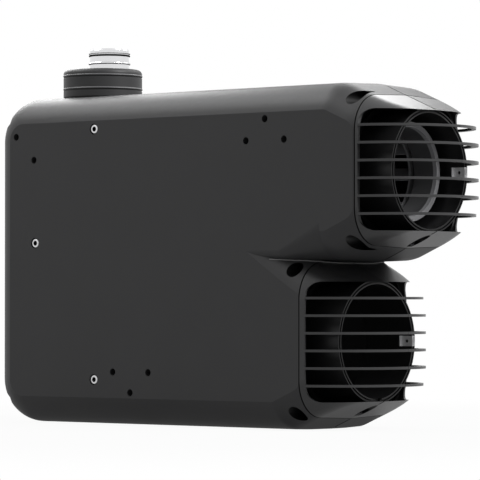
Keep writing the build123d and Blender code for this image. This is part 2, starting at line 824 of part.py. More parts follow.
# Blower wheel: back disc, hub, swept blades and a front shroud
wheel_front_x = upper_lip - wheel_front_back
wheel_back_x = wheel_front_x - wheel_width
with BuildPart() as fan_wheel:
    add(bar_x(wheel_back_x, wheel_back_x + wheel_disc, 0, fan_z, wheel_radius))
    add(bar_x(wheel_back_x, wheel_back_x + wheel_hub_length, 0, fan_z, wheel_hub_radius))
    add(bar_x(wheel_front_x - wheel_disc, wheel_front_x, 0, fan_z, wheel_radius))
    add(bar_x(wheel_front_x - wheel_disc, wheel_front_x, 0, fan_z, wheel_shroud_bore), mode=Mode.SUBTRACT)
    blade_mid = (wheel_radius + wheel_shroud_bore) / 2
    blade_span = (wheel_radius - wheel_shroud_bore) / math.cos(math.radians(wheel_blade_sweep))
    with BuildSketch(Plane.YZ.offset(wheel_back_x)):
        with Locations((0, fan_z)):
            with PolarLocations(blade_mid, wheel_blades):
                Rectangle(blade_span, wheel_blade_thickness, rotation=wheel_blade_sweep)
            Circle(wheel_radius, mode=Mode.INTERSECT)
    extrude(amount=wheel_width)
    add(bar_x(wheel_back_x, wheel_front_x, 0, fan_z, fan_shaft_radius), mode=Mode.SUBTRACT)
save(fan_wheel, "fan_wheel")

# Motor of the blower, its shaft and its three-armed bracket
bracket_front_x = wheel_back_x - bracket_gap
bracket_back_x = bracket_front_x - bracket_sheet
motor_back_x = bracket_back_x - fan_motor_length
with BuildPart() as fan_shaft:
    add(bar_x(motor_back_x, wheel_back_x + wheel_hub_length, 0, fan_z, fan_shaft_radius))
    chamfer(fan_shaft.edges().filter_by(GeomType.CIRCLE), length=fan_shaft_radius / 6)
save(fan_shaft, "fan_shaft")
with BuildPart() as fan_bracket:
    with BuildSketch(Plane.YZ.offset(bracket_back_x)):
        with Locations((0, fan_z)):
            Circle(fan_motor_radius)
            with PolarLocations(bracket_post_offset / 2, bracket_arms, start_angle=90):
                Rectangle(bracket_post_offset, bracket_arm_width)
            Circle(bracket_radius, mode=Mode.INTERSECT)
            Circle(fan_shaft_radius + running_gap, mode=Mode.SUBTRACT)
    extrude(amount=bracket_sheet)
    with BuildSketch(Plane.YZ.offset(bracket_back_x)):
        with Locations((0, fan_z)):
            with PolarLocations(bracket_post_offset, bracket_arms, start_angle=90):
                Circle(bracket_post_radius)
    extrude(amount=nozzle_seat_x - plate_thickness - bracket_back_x)
save(fan_bracket, "fan_bracket")
with BuildPart() as fan_motor:
    add(bar_x(motor_back_x, bracket_back_x, 0, fan_z, fan_motor_radius))
    chamfer(fan_motor.edges().filter_by(GeomType.CIRCLE), length=fan_motor_radius / 12)
    add(bar_x(motor_back_x, bracket_back_x, 0, fan_z, fan_shaft_radius + running_gap), mode=Mode.SUBTRACT)
save(fan_motor, "fan_motor")

# Carrier plate that the combustion unit and the electronics hang on
with BuildPart() as carrier_plate:
    with BuildSketch(Plane.XZ.offset(-carrier_y)):
        with Locations(((carrier_left_x + carrier_right_x) / 2, (carrier_bottom_z + carrier_top_z) / 2)):
            RectangleRounded(carrier_right_x - carrier_left_x, carrier_top_z - carrier_bottom_z,
                             carrier_corner)
        with Locations(((carrier_left_x + carrier_right_x) / 2 + carrier_corner, burner_z)):
            RectangleRounded((carrier_right_x - carrier_left_x) / 2, core_half_height,
                             carrier_window_corner, mode=Mode.SUBTRACT)
        with Locations((tube_x, (face_screws_xz[0][1] + face_screws_xz[1][1]) / 2)):
            RectangleRounded(2 * flue_tube_radius, 2 * flue_tube_radius, carrier_window_corner,
                             mode=Mode.SUBTRACT)
    extrude(amount=-carrier_sheet)
    add(pegs([(x, z, face_nut_radius) for x, z in face_screws_xz],
             carrier_y + carrier_sheet + face_nut_length, carrier_y))
    add(pegs([(x, z, face_shank_radius + thread_gap) for x, z in face_screws_xz],
             carrier_y + carrier_sheet + face_nut_length, carrier_y), mode=Mode.SUBTRACT)
    add(pegs(face_holes, carrier_y + carrier_sheet, carrier_y, face_hole_wall + fit_gap),
        mode=Mode.SUBTRACT)
save(carrier_plate, "carrier_plate")

# Heat exchanger: hollow core with upright fins, lugs to the carrier plate and the exhaust port
core_low_z = burner_z - core_half_height
core_high_z = burner_z + core_half_height
carrier_back_y = carrier_y + carrier_sheet
with BuildPart() as heat_exchanger:
    add(block(core_left_x, core_right_x, -core_half_depth, core_half_depth, core_low_z, core_high_z))
    fillet(heat_exchanger.edges().filter_by(Axis.X), radius=core_wall)
    for number in range(fin_plate_count):
        fin_x = fin_plate_first_x + number * fin_plate_pitch
        add(block(fin_x, fin_x + fin_plate, -fin_plate_half_depth, fin_plate_half_depth,
                  burner_z - fin_plate_half_height, burner_z + fin_plate_half_height))
    for lug_x in (core_left_x, core_right_x - lug_width):
        for lug_z in (core_low_z + core_wall, core_high_z - core_wall - lug_height):
            add(block(lug_x, lug_x + lug_width, carrier_back_y, -core_half_depth, lug_z, lug_z + lug_height))
    add(block(core_left_x, core_right_x - core_wall, -core_half_depth + core_wall,
              core_half_depth - core_wall, core_low_z + core_wall, core_high_z - core_wall),
        mode=Mode.SUBTRACT)
    with Locations((tube_x, 0, core_high_z)):
        Cylinder(flue_tube_radius - flue_tube_wall, 4 * core_wall, mode=Mode.SUBTRACT)
save(heat_exchanger, "heat_exchanger")

# Burner, seen from the left: mixing box, burner plate, perforated head and flame tube
plate_left_x = core_left_x - burner_plate_thickness
mixing_left_x = plate_left_x - mixing_length
rod_places = ((0, burner_z + rod_offset), (rod_offset, burner_z))
with BuildPart() as burner_plate:
    add(block(plate_left_x, core_left_x, -core_half_depth, core_half_depth, core_low_z, core_high_z))
    add(bar_x(plate_left_x, core_left_x, 0, burner_z, burner_radius - burner_wall), mode=Mode.SUBTRACT)
    for rod_y, rod_z in rod_places:
        add(bar_x(plate_left_x, core_left_x, rod_y, rod_z, rod_ceramic_radius + running_gap),
            mode=Mode.SUBTRACT)
save(burner_plate, "burner_plate")
with BuildPart() as flame_tube:
    add(bar_x(core_left_x, core_left_x + flame_tube_length, 0, burner_z, flame_tube_radius))
    add(bar_x(core_left_x, core_left_x + flame_tube_length, 0, burner_z,
              flame_tube_radius - flame_tube_wall), mode=Mode.SUBTRACT)
save(flame_tube, "flame_tube")
with BuildPart() as burner_head:
    add(bar_x(core_left_x, core_left_x + burner_length, 0, burner_z, burner_radius))
    add(bar_x(core_left_x, core_left_x + burner_length - burner_wall, 0, burner_z,
              burner_radius - burner_wall), mode=Mode.SUBTRACT)
    for ring in range(burner_port_rings):
        ring_x = core_left_x + burner_length * (ring + 1.5) / (burner_port_rings + 1.5)
        with BuildSketch(Plane.XZ) as port:
            with Locations((ring_x, burner_z)):
                Circle(burner_port_radius)
        for number in range(burner_ports_per_ring):
            turn = number * 360 / burner_ports_per_ring
            bored = port.sketch.rotate(Axis((0, 0, burner_z), (1, 0, 0)), turn)
            extrude(bored, amount=2 * burner_radius, mode=Mode.SUBTRACT)
save(burner_head, "burner_head")
rod_names = ("igniter_electrode", "flame_sensor")
for rod_name, (rod_y, rod_z) in zip(rod_names, rod_places):
    with BuildPart() as rod:
        add(bar_x(core_left_x - rod_ceramic_length / 2, core_left_x + rod_ceramic_length, rod_y, rod_z,
                  rod_ceramic_radius))
        add(bar_x(core_left_x, core_left_x + rod_length, rod_y, rod_z, rod_radius))
    save(rod, rod_name)
with BuildPart() as mixing_box:
    add(bar_x(mixing_left_x, plate_left_x, 0, burner_z, mixing_radius))
    add(bar_x(mixing_left_x + mixing_wall, plate_left_x, 0, burner_z, mixing_radius - mixing_wall),
        mode=Mode.SUBTRACT)
    add(bar_x(mixing_left_x, plate_left_x, air_outlet_offset, burner_z, air_outlet_radius),
        mode=Mode.SUBTRACT)
    add(bar_x(mixing_left_x, plate_left_x, 0, burner_z, air_shaft_radius * 2), mode=Mode.SUBTRACT)
    with Locations(((mixing_left_x + plate_left_x) / 2, valve_y, burner_z + mixing_radius)):
        Cylinder(gas_pipe_radius + running_gap, mixing_radius, mode=Mode.SUBTRACT)
save(mixing_box, "mixing_box")

# Overheat switch on the side of the exchanger's core
with BuildPart() as overheat_switch:
    add(pegs([(switch_x, burner_z, switch_radius)], -core_half_depth, -core_half_depth - switch_height / 2))
    add(pegs([(switch_x, burner_z, switch_radius * 0.75)], -core_half_depth,
             -core_half_depth - switch_height))
save(overheat_switch, "overheat_switch")

# Combustion air fan: inlet chamber with its neck, divider with the eye, wheel chamber
air_right_x = mixing_left_x
with BuildPart() as air_fan_housing:
    add(bar_x(air_housing_left_x, air_right_x, 0, burner_z, air_housing_radius))
    add(block(air_housing_left_x, air_divider_x, -neck_half_depth, neck_half_depth, burner_z, neck_top_z))
    add(bar_x(air_divider_x + air_housing_wall, air_right_x - air_housing_wall, 0, burner_z,
              air_housing_radius - air_housing_wall), mode=Mode.SUBTRACT)
    add(bar_x(air_housing_left_x + air_housing_wall, air_divider_x, 0, burner_z,
              air_housing_radius - air_housing_wall), mode=Mode.SUBTRACT)
    add(block(air_housing_left_x + air_housing_wall, air_divider_x - air_housing_wall,
              -neck_half_depth + air_housing_wall, neck_half_depth - air_housing_wall,
              burner_z, neck_top_z), mode=Mode.SUBTRACT)
    add(bar_x(air_divider_x, air_divider_x + air_housing_wall, 0, burner_z, air_eye_radius),
        mode=Mode.SUBTRACT)
    add(bar_x(air_right_x - air_housing_wall, air_right_x, air_outlet_offset, burner_z,
              air_outlet_radius), mode=Mode.SUBTRACT)
save(air_fan_housing, "air_fan_housing")
air_motor_left_x = air_housing_left_x + air_housing_wall
with BuildPart() as air_motor:
    add(bar_x(air_motor_left_x, air_motor_left_x + air_motor_length, 0, burner_z, air_motor_radius))
    chamfer(air_motor.edges().filter_by(GeomType.CIRCLE), length=air_motor_radius / 12)
    add(bar_x(air_motor_left_x, air_motor_left_x + air_motor_length, 0, burner_z,
              air_shaft_radius + running_gap), mode=Mode.SUBTRACT)
save(air_motor, "air_motor")
air_wheel_left_x = air_divider_x + air_housing_wall + air_impeller_gap
air_wheel_right_x = air_right_x - air_housing_wall - air_impeller_gap
with BuildPart() as air_wheel:
    add(bar_x(air_wheel_right_x - air_housing_wall, air_wheel_right_x, 0, burner_z, air_impeller_radius))
    add(bar_x(air_wheel_left_x, air_wheel_right_x, 0, burner_z, air_impeller_hub))
    with BuildSketch(Plane.YZ.offset(air_wheel_left_x)):
        with Locations((0, burner_z)):
            with PolarLocations((air_impeller_radius + air_eye_radius) / 2, air_blades):
                Rectangle(air_impeller_radius - air_eye_radius, air_blade_thickness,
                          rotation=wheel_blade_sweep)
            Circle(air_impeller_radius, mode=Mode.INTERSECT)
    extrude(amount=air_wheel_right_x - air_wheel_left_x)
    add(bar_x(air_wheel_left_x, air_wheel_right_x, 0, burner_z, air_shaft_radius), mode=Mode.SUBTRACT)
save(air_wheel, "air_wheel")
with BuildPart() as air_shaft:
    add(bar_x(air_motor_left_x, air_wheel_right_x, 0, burner_z, air_shaft_radius))
save(air_shaft, "air_shaft")

# Flue: collar with two ringed grooves, steel tube with its bead, black ring, exhaust pipe below
flue_profile_top = collar_top_z - collar_shoulder
neck_x = flue_x + collar_neck_radius
neck_top = body_height + collar_neck_rise
with BuildPart() as flue_collar:
    with BuildSketch(Plane.XZ):
        with BuildLine():
            Polyline(
                (flue_x + collar_radius - collar_wall, collar_seat_z),
                (flue_x + collar_flange_radius, collar_seat_z),
                (flue_x + collar_flange_radius, collar_seat_z + collar_flange_thickness),
                (neck_x, collar_seat_z + collar_flange_thickness),
                (neck_x, neck_top),
                (flue_x + collar_radius, neck_top),
                (flue_x + collar_radius, flue_profile_top),
            )
            shoulder = RadiusArc((flue_x + collar_radius, flue_profile_top),
                                 (flue_x + collar_radius - collar_shoulder_reach, collar_top_z),
                                 -collar_shoulder)
            Polyline(
                shoulder @ 1,
                (flue_x + collar_radius - collar_wall, collar_top_z),
                (flue_x + collar_radius - collar_wall, collar_seat_z),
            )
        make_face()
        for ring_z in collar_rings_z:
            with Locations((flue_x + collar_radius, ring_z - collar_groove_height / 2)):
                Rectangle(2 * collar_groove_depth, collar_groove_height, mode=Mode.SUBTRACT)
    revolve(axis=Axis((flue_x, 0, 0), (0, 0, 1)))
save(flue_collar, "flue_collar")
with BuildPart() as flue_tube:
    with BuildSketch(Plane.XZ):
        with BuildLine():
            inside_x = tube_x + flue_tube_radius - flue_tube_wall
            outside_x = tube_x + flue_tube_radius
            lower_run = Polyline((inside_x, flue_tube_bottom_z), (outside_x, flue_tube_bottom_z),
                                 (outside_x, flue_bead_z - flue_bead_half))
            bead = ThreePointArc(lower_run @ 1, (outside_x + flue_bead_reach, flue_bead_z),
                                 (outside_x, flue_bead_z + flue_bead_half))
            Polyline(
                bead @ 1,
                (outside_x, o_ring_z - o_ring_section),
                (outside_x - o_ring_section, o_ring_z - o_ring_section),
                (outside_x - o_ring_section, o_ring_z + o_ring_section),
                (outside_x, o_ring_z + o_ring_section),
                (outside_x, flue_tube_top_z - flue_tube_wall),
                (outside_x - flue_tube_wall / 2, flue_tube_top_z),
                (inside_x, flue_tube_top_z),
                (inside_x, flue_tube_bottom_z),
            )
        make_face()
    revolve(axis=Axis((tube_x, 0, 0), (0, 0, 1)))
save(flue_tube, "flue_tube")
with BuildPart() as flue_o_ring:
    with BuildSketch(Plane.XZ):
        with Locations((tube_x + flue_tube_radius, o_ring_z)):
            Circle(o_ring_section)
    revolve(axis=Axis((tube_x, 0, 0), (0, 0, 1)))
save(flue_o_ring, "flue_o_ring")
with BuildPart() as exhaust_pipe:
    with BuildSketch(Plane.XY.offset(core_high_z)):
        with Locations((tube_x, 0)):
            Circle(flue_tube_radius)
            Circle(flue_tube_radius - flue_tube_wall, mode=Mode.SUBTRACT)
    extrude(amount=flue_tube_bottom_z - core_high_z)
save(exhaust_pipe, "exhaust_pipe")

# Air path of the burner: manifold under the collar and a duct down to the fan's neck
with BuildPart() as flue_manifold:
    add(block(manifold_left_x, manifold_right_x, -manifold_half_depth, manifold_half_depth,
              manifold_bottom_z, collar_seat_z))
    add(block(manifold_left_x + manifold_wall, manifold_right_x - manifold_wall,
              -manifold_half_depth + manifold_wall, manifold_half_depth - manifold_wall,
              manifold_bottom_z + manifold_wall, collar_seat_z - manifold_wall), mode=Mode.SUBTRACT)
    with Locations((flue_x, 0, collar_seat_z)):
        Cylinder(collar_radius - collar_wall, 4 * manifold_wall, mode=Mode.SUBTRACT)
    with Locations((tube_x, 0, manifold_bottom_z)):
        Cylinder(flue_tube_radius + running_gap, 4 * manifold_wall, mode=Mode.SUBTRACT)
    add(block(manifold_left_x, manifold_left_x + manifold_wall, -neck_half_depth + air_housing_wall,
              neck_half_depth - air_housing_wall, duct_leg_bottom_z + air_housing_wall,
              duct_leg_bottom_z + duct_leg_height - air_housing_wall), mode=Mode.SUBTRACT)
save(flue_manifold, "flue_manifold")
with BuildPart() as air_duct:
    add(block(air_housing_left_x, air_divider_x, -neck_half_depth, neck_half_depth,
              neck_top_z, duct_leg_bottom_z + duct_leg_height))
    add(block(air_housing_left_x, manifold_left_x, -neck_half_depth, neck_half_depth,
              duct_leg_bottom_z, duct_leg_bottom_z + duct_leg_height))
    add(block(air_housing_left_x + air_housing_wall, air_divider_x - air_housing_wall,
              -neck_half_depth + air_housing_wall, neck_half_depth - air_housing_wall,
              neck_top_z, duct_leg_bottom_z + duct_leg_height - air_housing_wall), mode=Mode.SUBTRACT)
    add(block(air_housing_left_x + air_housing_wall, manifold_left_x,
              -neck_half_depth + air_housing_wall, neck_half_depth - air_housing_wall,
              duct_leg_bottom_z + air_housing_wall,
              duct_leg_bottom_z + duct_leg_height - air_housing_wall), mode=Mode.SUBTRACT)
save(air_duct, "air_duct")

# Partition between the warm-air chamber and the upper chamber
partition_right_x = lower_lip_x - lower_plate_back
with BuildPart() as partition_plate:
    add(arm_slab("lower", wall + plate_gap, partition_left_x, partition_right_x,
                 partition_z, partition_z + partition_sheet))
    add(block(partition_left_x, partition_right_x, -rim_half_depth, carrier_back_y + plate_gap,
              partition_z, partition_z + partition_sheet), mode=Mode.SUBTRACT)
save(partition_plate, "partition_plate")

# Heat shield on the rear edges of the exchanger's fins
with BuildPart() as heat_shield:
    add(block(fin_plate_first_x - shield_margin,
              fin_plate_first_x + (fin_plate_count - 1) * fin_plate_pitch + shield_margin,
              fin_plate_half_depth, fin_plate_half_depth + shield_sheet,
              burner_z - fin_plate_half_height, burner_z + fin_plate_half_height))
save(heat_shield, "heat_shield")

# Gas valve standing on the partition: body, coil, plunger and return spring
valve_low_z = partition_z + partition_sheet
valve_high_z = valve_low_z + valve_height
seat_z = valve_high_z - seat_depth
coil_high_z = valve_high_z + coil_height
spring_low_z = seat_z + plunger_length
spring_high_z = coil_high_z - coil_cap
gas_line_z = valve_low_z + gas_port_height
inlet_z = valve_low_z + inlet_rise
with BuildPart() as valve_body:
    with BuildSketch(Plane.XY.offset(valve_low_z)):
        with Locations((valve_x, valve_y)):
            RectangleRounded(valve_length, valve_depth, valve_edge)
    extrude(amount=valve_height)
    with Locations((valve_x, valve_y, seat_z + seat_depth)):
        Cylinder(plunger_radius + running_gap, 2 * seat_depth, mode=Mode.SUBTRACT)
    with Locations((valve_x, valve_y, seat_z - seat_depth)):
        Cylinder(inlet_bore, 2 * seat_depth, mode=Mode.SUBTRACT)
save(valve_body, "valve_body")
with BuildPart() as valve_coil:
    with Locations((valve_x, valve_y, valve_high_z + coil_height / 2)):
        Cylinder(coil_radius, coil_height)
    fillet(valve_coil.edges().filter_by(GeomType.CIRCLE).sort_by(Axis.Z)[-1], radius=coil_radius / 6)
    with Locations((valve_x, valve_y, (valve_high_z + spring_high_z) / 2)):
        Cylinder(plunger_radius + running_gap, spring_high_z - valve_high_z, mode=Mode.SUBTRACT)
save(valve_coil, "valve_coil")
with BuildPart() as valve_plunger:
    with Locations((valve_x, valve_y, seat_z + plunger_length / 2)):
        Cylinder(plunger_radius, plunger_length)
    chamfer(valve_plunger.edges().filter_by(GeomType.CIRCLE), length=plunger_radius / 10)
save(valve_plunger, "valve_plunger")
with BuildPart() as valve_spring:
    rise = spring_high_z - spring_low_z - 2 * spring_wire
    with BuildLine() as coil_line:
        Helix(rise / spring_turns, rise, spring_radius,
              center=(valve_x, valve_y, spring_low_z + spring_wire))
    with BuildSketch(Plane(coil_line.line @ 0, z_dir=coil_line.line % 0)):
        Circle(spring_wire)
    sweep(path=coil_line.line, is_frenet=True)
save(valve_spring, "valve_spring")

# Gas line: stub at the rear face, and the pipe from the valve to the mixing box
valve_left_x = valve_x - valve_length / 2
valve_rear_y = valve_y + valve_depth / 2
pipe_down_x = (mixing_left_x + plate_left_x) / 2
pipe_end_z = burner_z + math.sqrt((mixing_radius - mixing_wall) ** 2 - valve_y ** 2)
with BuildPart() as gas_inlet:
    with BuildSketch(Plane.XZ.offset(-valve_rear_y)):
        with Locations((valve_x, inlet_z)):
            Circle(inlet_pipe_radius)
    extrude(amount=-(flat_half_depth - rear_end_gap - valve_rear_y))
    with BuildSketch(Plane.XZ.offset(-valve_rear_y)):
        with Locations((valve_x, inlet_z)):
            RegularPolygon(inlet_nut_radius, 6)
    extrude(amount=-inlet_nut_length)
    add(pegs([(valve_x, inlet_z, inlet_bore)], flat_half_depth, valve_rear_y), mode=Mode.SUBTRACT)
save(gas_inlet, "gas_inlet")
with BuildPart() as gas_pipe:
    with BuildLine() as pipe_line:
        FilletPolyline((valve_left_x, valve_y, gas_line_z), (pipe_down_x, valve_y, gas_line_z),
                       (pipe_down_x, valve_y, pipe_end_z), radius=gas_pipe_bend)
    with BuildSketch(Plane(pipe_line.line @ 0, z_dir=pipe_line.line % 0)):
        Circle(gas_pipe_radius)
    sweep(path=pipe_line.line)
save(gas_pipe, "gas_pipe")

# Electronics: housing on the carrier plate, circuit board on posts, cover
with BuildPart() as control_housing:
    add(block(box_left_x, box_right_x, carrier_back_y, carrier_back_y + box_depth, box_bottom_z, box_top_z))
    fillet(control_housing.edges().filter_by(Axis.Y), radius=2 * box_wall)
    add(block(box_left_x + box_wall, box_right_x - box_wall, carrier_back_y + box_wall,
              carrier_back_y + box_depth, box_bottom_z + box_wall, box_top_z - box_wall),
        mode=Mode.SUBTRACT)
    board_mid = ((box_left_x + box_right_x) / 2, (box_bottom_z + box_top_z) / 2)
    board_long = box_right_x - box_left_x - 2 * box_wall - 2 * board_margin
    board_high = box_top_z - box_bottom_z - 2 * box_wall - 2 * board_margin
    post_places = []
    for side_x in (-1, 1):
        for side_z in (-1, 1):
            post_places.append((board_mid[0] + side_x * (board_long / 2 - box_post),
                                board_mid[1] + side_z * (board_high / 2 - box_post), box_post / 2))
    add(pegs(post_places, board_front_y, carrier_back_y))
save(control_housing, "control_housing")
with BuildPart() as control_board:
    add(block(board_mid[0] - board_long / 2, board_mid[0] + board_long / 2, board_front_y,
              board_front_y + board_thickness, board_mid[1] - board_high / 2, board_mid[1] + board_high / 2))
    part_y = board_front_y + board_thickness
    for part_x, part_z, part_depth in board_parts:
        mid_x, mid_z = board_mid[0] + part_x, board_mid[1] + part_z
        add(block(mid_x - board_part_width / 2, mid_x + board_part_width / 2, part_y, part_y + part_depth,
                  mid_z - board_part_height / 2, mid_z + board_part_height / 2))
    add(pegs([(board_mid[0] + x, board_mid[1] + z, capacitor_radius) for x, z in capacitors_xz],
             part_y + capacitor_length, part_y))
save(control_board, "control_board")
with BuildPart() as control_cover:
    add(block(box_left_x, box_right_x, carrier_back_y + box_depth, carrier_back_y + box_depth + box_wall,
              box_bottom_z, box_top_z))
    fillet(control_cover.edges().filter_by(Axis.Y), radius=2 * box_wall)
save(control_cover, "control_cover")

# Cable gland in the rear face
with BuildPart() as cable_gland:
    add(pegs([(cable_xz[0], cable_xz[1], cable_gland_radius)], flat_half_depth - rear_end_gap,
             flat_half_depth - 4 * wall))
    add(pegs([(cable_xz[0], cable_xz[1], cable_gland_flange)], flat_half_depth - wall,
             flat_half_depth - 2 * wall))
    add(pegs([(cable_xz[0], cable_xz[1], cable_gland_bore)], flat_half_depth, flat_half_depth - 4 * wall),
        mode=Mode.SUBTRACT)
save(cable_gland, "cable_gland")

# Air temperature sensor on the intake plate
with BuildPart() as air_sensor:
    add(bar_x(nozzle_seat_x, nozzle_seat_x + sensor_length / 4, sensor_offset, fan_z - sensor_offset,
              2 * sensor_radius))
    add(bar_x(nozzle_seat_x, nozzle_seat_x + sensor_length, sensor_offset, fan_z - sensor_offset,
              sensor_radius))
save(air_sensor, "air_sensor")
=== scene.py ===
import math

import bpy
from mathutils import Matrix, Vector


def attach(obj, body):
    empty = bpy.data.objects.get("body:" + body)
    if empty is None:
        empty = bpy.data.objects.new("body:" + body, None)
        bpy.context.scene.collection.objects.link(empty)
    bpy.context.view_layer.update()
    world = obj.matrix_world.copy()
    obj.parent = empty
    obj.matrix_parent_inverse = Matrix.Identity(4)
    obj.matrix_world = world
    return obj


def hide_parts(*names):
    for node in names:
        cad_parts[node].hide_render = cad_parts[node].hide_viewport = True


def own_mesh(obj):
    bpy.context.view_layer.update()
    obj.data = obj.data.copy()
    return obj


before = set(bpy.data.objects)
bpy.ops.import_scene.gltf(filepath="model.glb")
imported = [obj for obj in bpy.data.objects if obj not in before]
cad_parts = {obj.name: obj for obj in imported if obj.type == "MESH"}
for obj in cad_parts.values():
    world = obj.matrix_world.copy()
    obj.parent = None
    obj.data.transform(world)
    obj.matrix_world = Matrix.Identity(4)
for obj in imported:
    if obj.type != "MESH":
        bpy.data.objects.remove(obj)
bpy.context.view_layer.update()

# Photograph's camera, in metres, degrees and pixels, with the sensor in millimetres
AZIMUTH = 40.5
DISTANCE = 2.95
EYE_HEIGHT = 0.1117
AIM = Vector((-0.0021, 0.0, 0.1684))
FOCAL_PIXELS = 3250.0
FRAME_PIXELS = 480.0
SENSOR = 36.0
CLIP_END = 20.0

# Places on the casing, in metres
LIP_X = {"upper": 0.2219, "lower": 0.1639}
HEAD_Z = {"upper": 0.2255, "lower": 0.0775}
GROOVE_BACK = {"upper": 0.0342, "lower": 0.0372}
GROOVE_WIDTH = 0.001
WELL_BACK = {"upper": 0.043, "lower": 0.0475}
WELL_DROP = 0.0625
WELL_RADIUS = 0.0062
LEFT_WELLS = ((-0.2332, 0.2804), (-0.2332, 0.0226))
LEFT_WELL_RADIUS = 0.0055
GRILLE_WELL_DROP = 0.061
GRILLE_WELL_RADIUS = 0.0055
SPLIT_Z = 0.1461
SEAM_HALF_WIDTH = 0.0006
FACE_SCREWS = ((-0.1157, 0.2702), (-0.1904, 0.1667), (-0.1157, 0.0413))
SOCKET_RADIUS = 0.0024
NOZZLE_BACK = 0.03
NOZZLE_BAND = 0.0035
FLUE_X = -0.1721
TUBE_X = -0.1636
COLLAR_RADIUS = 0.037
COLLAR_GROOVES_Z = (0.3113, 0.3236)
COLLAR_GROOVE_HALF = 0.0005
TUBE_RADIUS = 0.0185

# Colours, linear
ANTHRACITE = (0.031, 0.031, 0.032)
GRILLE_GREY = (0.033, 0.033, 0.034)
# Light grey of the collar lips, a painted highlight
LIP_HIGHLIGHT_GREY = (0.12, 0.12, 0.124)
LINE_GREY = (0.12, 0.12, 0.12)
# Light grey of the crotch lip, a painted highlight
CREASE_HIGHLIGHT_GREY = (0.2, 0.2, 0.2)
DUCT_BLACK = (0.008, 0.008, 0.0085)
NOZZLE_GREY = (0.26, 0.26, 0.27)
# Fan wheel grey: partly its own grey and partly painted light, lightened so the wheel still shows grey deep
# in the nozzle's shade
WHEEL_GREY_WITH_PAINTED_LIGHT = (0.3, 0.3, 0.31)
RUBBER_BLACK = (0.006, 0.006, 0.006)
BRIGHT_STEEL = (0.72, 0.72, 0.73)
CLIP_GREY = (0.6, 0.6, 0.61)
DARK_STEEL = (0.03, 0.03, 0.032)
SHEET_STEEL = (0.42, 0.42, 0.43)
CAST_ALUMINIUM = (0.5, 0.5, 0.51)
MOTOR_GREY = (0.05, 0.05, 0.055)
VALVE_BRASS = (0.55, 0.4, 0.17)
COIL_BLACK = (0.012, 0.012, 0.014)
BOARD_GREEN = (0.01, 0.09, 0.03)
CERAMIC_WHITE = (0.7, 0.68, 0.62)
FLOOR_GREY = (0.35, 0.35, 0.35, 1.0)
WHITE = (1.0, 1.0, 1.0, 1.0)

# Every finish: slow mottling of the colour, fine grain in bump and roughness, and sharp-edged masks of
# painted shade in grooves, wells and bores and of dark joints
MOTTLE = 0.08
MOTTLE_SCALE = 25.0
MOTTLE_DETAIL = 4.0
GRAIN_SCALE = 900.0
GRAIN_DETAIL = 3.0
GRAIN_STRENGTH = 0.35
GRAIN_HEIGHT = 0.00002
ROUGH_SPREAD = 0.05
ROUGH_LEAST = 0.02
MASK_EDGE = 0.0001
MASK_COVER = 2 * MASK_EDGE

# Layout of the sum nodes in a node tree
SUMS_LEFT = -2600
SUMS_HEIGHT = 900
SUMS_STEP_X = 40
SUMS_STEP_Y = 8
SUMS_ROW = 30


def node_at(nodes, kind, place):
    """A new shader node of that kind at a readable place."""
    made = nodes.new(kind)
    made.location = place
    return made


class Sums:
    """Sums of shader sockets on one node tree, and masks made from them."""

    def __init__(self, tree):
        self.nodes, self.links = tree.nodes, tree.links
        self.count = 0

    def of(self, operation, first, second=0.0, clamp=False):
        """Result of one Math node on sockets or numbers."""
        place = (SUMS_LEFT + SUMS_STEP_X * (self.count % SUMS_ROW), SUMS_HEIGHT + SUMS_STEP_Y * self.count)
        made = node_at(self.nodes, "ShaderNodeMath", place)
        self.count += 1
        made.operation = operation
        made.use_clamp = clamp
        for socket, value in zip(made.inputs, (first, second)):
            if isinstance(value, bpy.types.NodeSocket):
                self.links.new(value, socket)
            else:
                socket.default_value = value
        return made.outputs[0]

    def below(self, value, limit):
        """1 where value is under limit, 0 above it."""
        return self.of("DIVIDE", self.of("SUBTRACT", limit, value), MASK_EDGE, clamp=True)

    def above(self, value, limit):
        """1 where value is over limit, 0 under it."""
        return self.of("DIVIDE", self.of("SUBTRACT", value, limit), MASK_EDGE, clamp=True)

    def within(self, across, up, centre, radius):
        """1 nearer than radius to a point of a plane, 0 further out."""
        side = self.of("SUBTRACT", across, centre[0])
        rise = self.of("SUBTRACT", up, centre[1])
        square = self.of("ADD", self.of("MULTIPLY", side, side), self.of("MULTIPLY", rise, rise))
        return self.below(self.of("SQRT", square), radius)

    def any(self, masks):
        """1 where any of the masks is 1."""
        joined = masks[0]
        for mask in masks[1:]:
            joined = self.of("MAXIMUM", joined, mask)
        return joined


def seam(sums, x, y, z):
    """The parting line between front and rear."""
    return sums.below(sums.of("ABSOLUTE", y), SEAM_HALF_WIDTH)


def shell_end_shade_and_seam(sums, x, y, z):
    """Painted shade on the shells' end faces in the grooves round the grilles, and the dark seam."""
    upper = sums.above(x, LIP_X["upper"] - GROOVE_BACK["upper"] - MASK_COVER)
    lower = sums.above(x, LIP_X["lower"] - GROOVE_BACK["lower"] - MASK_COVER)
    lower = sums.of("MULTIPLY", lower, sums.below(z, SPLIT_Z))
    return sums.any([upper, lower, seam(sums, x, y, z)])


def front_shell_shade_and_seam(sums, x, y, z):
    """What is dark on the front shell: painted shade on the end faces and in the deep screw wells, and the
    dark seam.
    """
    wells = [(place, LEFT_WELL_RADIUS) for place in LEFT_WELLS]
    for name, lip_x in LIP_X.items():
        for side in (-1, 1):
            wells.append(((lip_x - WELL_BACK[name], HEAD_Z[name] + side * WELL_DROP), WELL_RADIUS))
    masks = [sums.within(x, z, centre, radius + MASK_COVER) for centre, radius in wells]
    return sums.any([shell_end_shade_and_seam(sums, x, y, z)] + masks)


